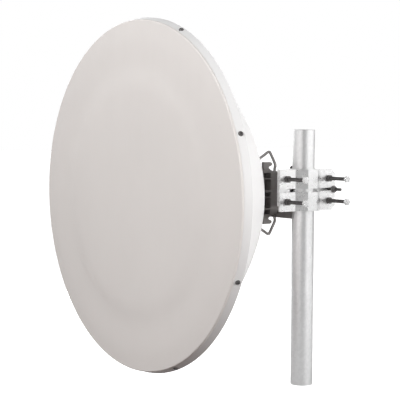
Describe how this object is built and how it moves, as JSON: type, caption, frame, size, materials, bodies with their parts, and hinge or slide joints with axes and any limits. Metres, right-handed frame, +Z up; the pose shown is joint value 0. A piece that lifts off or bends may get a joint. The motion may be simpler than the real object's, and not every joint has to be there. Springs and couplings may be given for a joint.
{
  "type": "microwave dish antenna",
  "caption": "Deep round dish with a flat stepped cover, ribbed hub and adjustable side clamp on an upright pipe mast.",
  "frame": {"origin": "centre of the mast's foot, on the mast's axis", "axes": "+Z up along the mast; the dish looks along -Y; +X points from the dish axis towards the mast and on to the clamp jaws"},
  "size_m": [0.943, 0.545, 0.9915],
  "materials": {
    "radome": "warm light grey moulded cover, satin",
    "reflector_paint": "white powder coat on spun aluminium",
    "rim_paint": "white powder coat",
    "dark_casting": "dark grey powder coat on a ribbed casting",
    "bright_zinc": "bright zinc plated steel",
    "mast_zinc": "hot dip galvanised pipe",
    "dark_steel": "dark steel fasteners"
  },
  "bodies": {
    "mast": {"mast": "mast_zinc"},
    "clamp": {"saddle": "bright_zinc", "upper_jaw": "bright_zinc", "lower_jaw": "bright_zinc", "clamp_bolt_1": "dark_steel", "clamp_bolt_2": "dark_steel", "clamp_bolt_3": "dark_steel", "clamp_bolt_4": "dark_steel", "clamp_nut_1": "dark_steel", "clamp_nut_2": "dark_steel", "clamp_nut_3": "dark_steel", "clamp_nut_4": "dark_steel", "pivot_bolt": "dark_steel", "pivot_washer": "dark_steel", "pivot_nut": "dark_steel"},
    "antenna": {"reflector": "reflector_paint", "radome": "radome", "rim_band": "rim_paint", "rim_screw_1": "dark_steel", "rim_screw_2": "dark_steel", "rim_screw_3": "dark_steel", "rim_screw_4": "dark_steel", "rim_screw_5": "dark_steel", "rim_screw_6": "dark_steel", "rim_screw_7": "dark_steel", "rim_screw_8": "dark_steel", "hub_flange": "dark_casting", "hub_body": "dark_casting", "hub_rear_plate": "dark_casting", "radio_port": "bright_zinc", "latch_1": "dark_casting", "latch_2": "dark_casting", "latch_3": "dark_casting", "latch_4": "dark_casting", "bracket": "bright_zinc", "bracket_bolt_1": "dark_steel", "bracket_bolt_2": "dark_steel", "bracket_bolt_3": "dark_steel", "bracket_bolt_4": "dark_steel", "elevation_arm": "dark_casting", "elevation_rod": "dark_steel", "rod_nut_upper": "dark_steel", "rod_nut_lower": "dark_steel"}
  },
  "joints": [
    {"name": "azimuth_swivel", "type": "hinge", "parent": "mast", "child": "clamp", "pos_m": [0, 0, 0.5344], "axis": [0, 0, 1], "range_deg": [-180, 180]},
    {"name": "elevation_tilt", "type": "hinge", "parent": "clamp", "child": "antenna", "pos_m": [-0.085, 0.092, 0.5344], "axis": [1, 0, 0], "range_deg": [-15, 15]}
  ]
}
